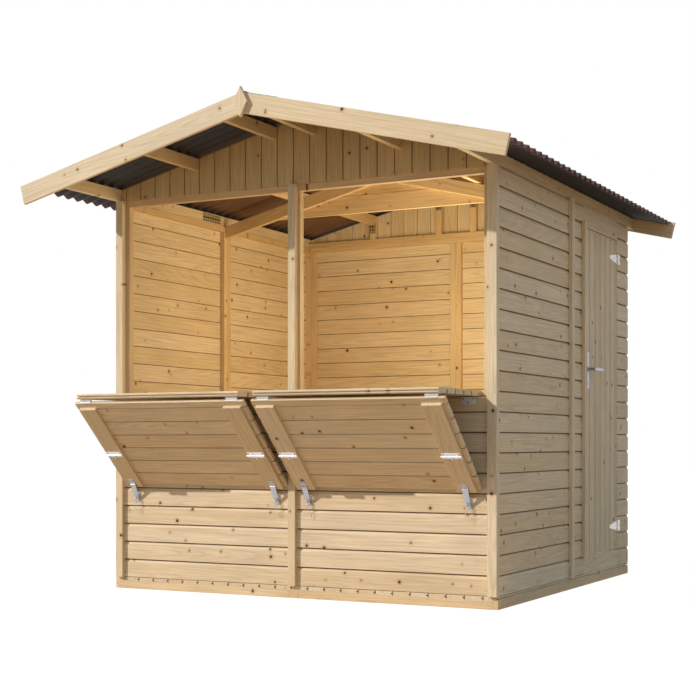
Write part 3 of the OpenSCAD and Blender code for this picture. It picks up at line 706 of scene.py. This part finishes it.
low, high = (Vector(c) for c in solids("prop_battens")[0])
batten_len = (high.z - low.z - batten_t * math.cos(prop_lean)) / math.sin(prop_lean)
batten_pattern = grooved_batten(high.x - low.x)
battens = []
for box in solids("prop_battens"):
    low, high = (Vector(c) for c in box)
    heel = Vector((high.x, high.y - batten_t * math.sin(prop_lean), low.z))
    battens += run_of_boards(batten_pattern, heel, prop_up, prop_inward, batten_len,
                             high.x - low.x, pitch=high.x - low.x)
join("prop_battens_grooved", battens, "stall", ["prop_battens"], wall_spruce)


# Door
# Upright planks on three ledges, hung on two tee hinges, with a lever handle on a long plate.
low, high = (Vector(c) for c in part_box("door_leaf"))
door_pattern = tongued_board("door_pattern", clad_t / mm, 4.5)
boards = run_of_boards(door_pattern, high - Y * (high.y - low.y), -Z, -X, high.z - low.z,
                       high.y - low.y)
join("door_planks", boards, "door", ["door_leaf"], wall_spruce)
bars("door_ledges", "door")
# A stop lath inside the door's head closes the narrow gap over the leaf
stop_low = Vector((low.x - 13 * mm, low.y - 4 * mm, high.z - 14 * mm))
stop_high = Vector((low.x - 1 * mm, high.y + 2 * mm, high.z + 16 * mm))
join("door_head_stop", [bar(stop_low, stop_high)], "stall", [], frame_spruce)


# Fittings
# Straps, hinge plates, bolts and hasps of bright zinc-plated steel, screwed to the wood, and a
# lever of satin steel on the door.
def zinc_plate(name, colour, rough):
    """Zinc plate on steel: pale grey metal with a faint mottle of crystals and soft highlights."""
    material, tree, output = new_material(name)
    place = add_node(tree, "TexCoord").outputs["Object"]
    crystals = add_node(tree, "TexVoronoi", Vector=place, Scale=240.0)
    mottle = add_node(tree, "MapRange", Value=crystals.outputs["Distance"], i2=0.8, i3=0.9, i4=1.06)
    tinted = add_node(tree, "MixRGB", {"blend_type": "MULTIPLY"}, Fac=1.0, Color1=linear(colour),
                      Color2=mottle.outputs[0])
    spread = add_node(tree, "TexNoise", Vector=place, Scale=60.0, Detail=2.0)
    roughness = add_node(tree, "MapRange", Value=spread.outputs[0], i3=rough - 0.08, i4=rough + 0.1)
    surface = add_node(tree, "BsdfPrincipled", Base_Color=tinted.outputs[0], Metallic=1.0,
                       Roughness=roughness.outputs[0])
    tree.links.new(surface.outputs[0], output.inputs[0])
    return material


zinc = zinc_plate("zinc_plated_steel", "#B2B1B5", 0.42)
# A rougher copy of the zinc: the rougher skin is the metal's own, and the paler colour is painted
# light, so that the hinges, straps and bolts in shade look as bright as lit ones
zinc_painted_lighter = zinc_plate("zinc_plate_painted_lighter", "#DEDCDA", 0.6)
satin = zinc_plate("satin_steel", "#A8A8AC", 0.36)
screw_steel = zinc_plate("screw_steel", "#77736C", 0.4)
for node, metal in (("counter_hinges", zinc_painted_lighter), ("prop_bolts", zinc_painted_lighter), ("prop_hasps", zinc),
                    ("door_straps", zinc_painted_lighter), ("door_hinge_plates", zinc_painted_lighter),
                    ("door_handle", satin)):
    paint(node, metal)


# Screws and nails
# Countersunk screws hold the fittings, and small flat nails hold the cladding to the studs.
def heads(name, spots, body, radius, rise, material):
    """Round heads, given as (point, outward direction), joined into one piece."""
    deselect()
    bpy.ops.mesh.primitive_cylinder_add(vertices=10, radius=radius, depth=rise)
    pattern = bpy.context.object
    pick(pattern, "EDGE", lambda edge: edge.verts[0].co.z > 0 and edge.verts[1].co.z > 0)
    bpy.ops.mesh.bevel(offset=0.4 * rise, segments=1, affect="EDGES")
    deselect()
    copies = []
    for point, outward in spots:
        head = twin(pattern)
        turn = outward.to_track_quat("Z", "Y").to_matrix().to_4x4()
        head.data.transform(Matrix.Translation(point + outward * 0.25 * rise) @ turn)
        copies.append(head)
    bpy.data.objects.remove(pattern)
    join(name, copies, body, [], material)


def centre(box):
    return (Vector(box[0]) + Vector(box[1])) / 2


# Each tee hinge has three screws along its strap, two on its wide end and three on its wall plate
hinge_y = 777 * mm
strap_x = wall_edge + 2.5 * mm
door_spots = []
stall_spots = []
for box in solids("door_straps"):
    z = centre(box).z
    for away in (26, 72, 122):
        door_spots.append((Vector((strap_x, hinge_y - away * mm, z)), X))
    for side in (-1, 1):
        door_spots.append((Vector((strap_x, hinge_y - 20 * mm, z + side * 17 * mm)), X))
for box in solids("door_hinge_plates"):
    z = centre(box).z
    for side in (-1, 0, 1):
        spot = Vector((strap_x, hinge_y + (26 + 8 * (side == 0)) * mm, z + side * 18 * mm))
        stall_spots.append((spot, X))
for box in solids("counter_hinges"):
    low, high = (Vector(c) for c in box)
    if low.y > -1.0:
        x = centre(box).x
        for across, up in ((-24, 8), (24, 8), (0, -8)):
            spot = Vector((x + across * mm, low.y, centre(box).z + up * mm))
            stall_spots.append((spot, -Y))


def on_prop(x, down, out):
    """A point a distance down the prop from its upper edge and out from its outer face."""
    return Vector((x, prop_top.y, prop_top.z)) - prop_up * down - prop_inward * out


# Each bolt has four screws at the corners of its plate, and each hasp three below it
plate_out = batten_t + 2 * mm
bolt_down = 329
hasp_down = 516
prop_screws = [(bolt_down + along, across) for across in (-37, 37) for along in (-11, 11)]
prop_screws += [(hasp_down, -8), (hasp_down, 8), (hasp_down + 13, 0)]
for box in solids("prop_battens"):
    x = centre(box).x
    for down, across in prop_screws:
        stall_spots.append((on_prop(x + across * mm, down * mm, plate_out), -prop_inward))
screw_r, screw_rise = 3.4 * mm, 1 * mm
heads("fitting_screws", stall_spots, "stall", screw_r, screw_rise, screw_steel)
heads("strap_screws", door_spots, "door", screw_r, screw_rise, screw_steel)

# One nail in each board at each stud, and at least nail_in from a panel's ends. Studs further than
# stud_reach from that place, and short ones, carry none of the panel's nails
nail_in = 24 * mm
stud_reach = 60 * mm
nail_spots = []
sides = (("left_wall", "left_wall_studs", 1, -X), ("right_wall", "right_wall_studs", 1, X),
         ("rear_wall", "rear_wall_studs", 0, Y), ("front_wall_left", "front_posts", 0, -Y),
         ("front_wall_right", "front_posts", 0, -Y))
for node, studs, axis, outward in sides:
    for panel in solids(node):
        low, high = Vector(panel[0]), Vector(panel[1])
        for stud in solids(studs):
            if stud[1][2] - stud[0][2] < 0.5:
                continue
            at = min(max(centre(stud)[axis], low[axis] + nail_in), high[axis] - nail_in)
            if abs(at - centre(stud)[axis]) > stud_reach:
                continue
            for row in range(round((high.z - low.z) / row_h)):
                point = centre(panel)
                point[axis] = at + chance.uniform(-3, 3) * mm
                point[1 - axis] = (high if sum(outward) > 0 else low)[1 - axis]
                point.z = low.z + row_h * (row + 0.28) + chance.uniform(-2, 2) * mm
                nail_spots.append((point, outward))
heads("cladding_nails", nail_spots, "stall", 1.8 * mm, 0.6 * mm, screw_steel)


# Wire clips
# A split ring through each staple, with a sprung wire pin hung on it, of 2 mm zinc-plated wire.
def wire(name, points, radius, closed=False):
    """Round wire bent through the given points."""
    deselect()
    curve = bpy.data.curves.new(name, "CURVE")
    curve.dimensions = "3D"
    curve.bevel_depth = radius
    curve.bevel_resolution = 2
    curve.resolution_u = 6
    spline = curve.splines.new("BEZIER")
    spline.bezier_points.add(len(points) - 1)
    for knot, point in zip(spline.bezier_points, points):
        knot.co = point
        knot.handle_left_type = "AUTO"
        knot.handle_right_type = "AUTO"
    spline.use_cyclic_u = closed
    piece = add_object(name, curve)
    bpy.context.view_layer.objects.active = piece
    piece.select_set(True)
    bpy.ops.object.convert(target="MESH")
    return bpy.context.object


staple_y = -1.0045
hasp_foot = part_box("prop_hasps")[0][2]
clips = []
for box in solids("prop_battens"):
    x = centre(box).x
    eye_at = Vector((x, staple_y, hasp_foot + 15 * mm))
    ring = [eye_at + Vector((9 * math.sin(a), 2.5 * math.sin(a), 9 * math.cos(a) - 3)) * mm
            for a in [math.tau * i / 8 for i in range(8)]]
    clips.append(wire("split_ring", ring, 1.3 * mm, closed=True))
    lean = chance.uniform(0.7, 1.3)
    pin = [(2, 0, -9), (-3, -1, -13), (0, -3, -17), (5, -2, -13), (3, 0, -20), (4, 1, -34),
           (8 * lean, 1, -48), (4, 1, -60), (10 * lean, 0, -66)]
    clips.append(wire("pin", [eye_at + Vector(p) * mm for p in pin], 1.1 * mm))
    leg = [(-3, -1, -13), (-7, 0, -24), (-9 * lean, 1, -44), (-7, 1, -62)]
    clips.append(wire("pin_leg", [eye_at + Vector(p) * mm for p in leg], 1.1 * mm))
join("wire_clips", clips, "stall", [], zinc)


# Nail plates
# Perforated plates tie the purlins to each other and to the studs of the rear gable.
def nail_plate(across, up, wide, high, pitch=18 * mm):
    """A plate 1.5 mm thick with rows of holes, centred on the origin and turned two ways."""
    deselect()
    columns, rows = round(wide / pitch), max(2, round(high / pitch))
    bpy.ops.mesh.primitive_grid_add(x_subdivisions=columns, y_subdivisions=rows, size=1)
    plate = bpy.context.object
    plate.data.transform(Matrix.Diagonal((wide, high, 1, 1)))
    pick(plate, "FACE", lambda face: True)
    bpy.ops.mesh.inset(thickness=0.25 * pitch, use_individual=True)
    bpy.ops.mesh.delete(type="FACE")
    bpy.ops.mesh.select_all(action="SELECT")
    bpy.ops.mesh.solidify(thickness=1.5 * mm)
    deselect()
    plate.data.transform(Matrix((across, up, across.cross(up))).transposed().to_4x4())
    return plate


# A long plate lies on the inner side of each eave purlin, and small ones on the rear gable's studs
# under the other purlins
eave_inner_x = 0.996
stud_face_y = 0.94
plates = []
plate_spots = []
for side in (-1, 1):
    spot = Vector((side * eave_inner_x, -0.16, 1.977))
    plate_spots.append((spot, -Y * side, Z, 0.176, 0.042))
for x, z, high in ((purlin_x[0], 2.13, 0.026), (purlin_x[1], 2.04, 0.06)):
    for side in (-1, 1):
        plate_spots.append((Vector((side * x, stud_face_y, z)), X, Z, 0.036, high))
for spot, across, up, wide, high in plate_spots:
    plate = nail_plate(across, up, wide, high)
    plate.data.transform(Matrix.Translation(spot))
    plates.append(plate)
plate_zinc = zinc_plate("nail_plate_zinc", "#8A7A62", 0.55)
join("nail_plates", plates, "stall", [], plate_zinc)


# Roof nails
# Capped nails hold the sheets to the purlins through every other crest.
def crest_lines(node):
    """Where the crests of a wave sheet run, as points on its upper side at the eave."""
    verts = [v.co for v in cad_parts[node].data.vertices]
    side = 1 if node == "roof_right" else -1
    eave = max(v.x * side for v in verts)
    edge = sorted((v.copy() for v in verts if v.x * side > eave - 12 * mm), key=lambda v: v.y)
    found = []
    for v in edge:
        near = [w.z for w in edge if abs(w.y - v.y) < 30 * mm]
        is_crest = v.z > max(near) - 1e-5
        if is_crest and (not found or v.y - found[-1].y > 40 * mm):
            found.append(v)
    return found


deselect()
bpy.ops.mesh.primitive_uv_sphere_add(segments=14, ring_count=8, radius=11 * mm)
cap_pattern = bpy.context.object
bpy.ops.object.transform_apply(location=True, rotation=True, scale=True)
caps = []
for node, slope in (("roof_left", slope_left), ("roof_right", slope_right)):
    turn = off_slope(slope).to_track_quat("Z", "Y").to_matrix().to_4x4()
    flat = Matrix.Diagonal((1, 1, 0.6, 1))
    for crest in crest_lines(node)[1::2]:
        for x in purlin_x:
            cap = twin(cap_pattern)
            spot = crest - slope * ((abs(crest.x) - x) / abs(slope.x))
            cap.data.transform(Matrix.Translation(spot) @ turn @ flat)
            caps.append(cap)
bpy.data.objects.remove(cap_pattern)
join("roof_nail_caps", caps, "stall", [], roof_felt)

for pattern in (floor_pattern, clad_pattern, gable_pattern, counter_pattern, prop_pattern,
                door_pattern, batten_pattern):
    bpy.data.objects.remove(pattern)
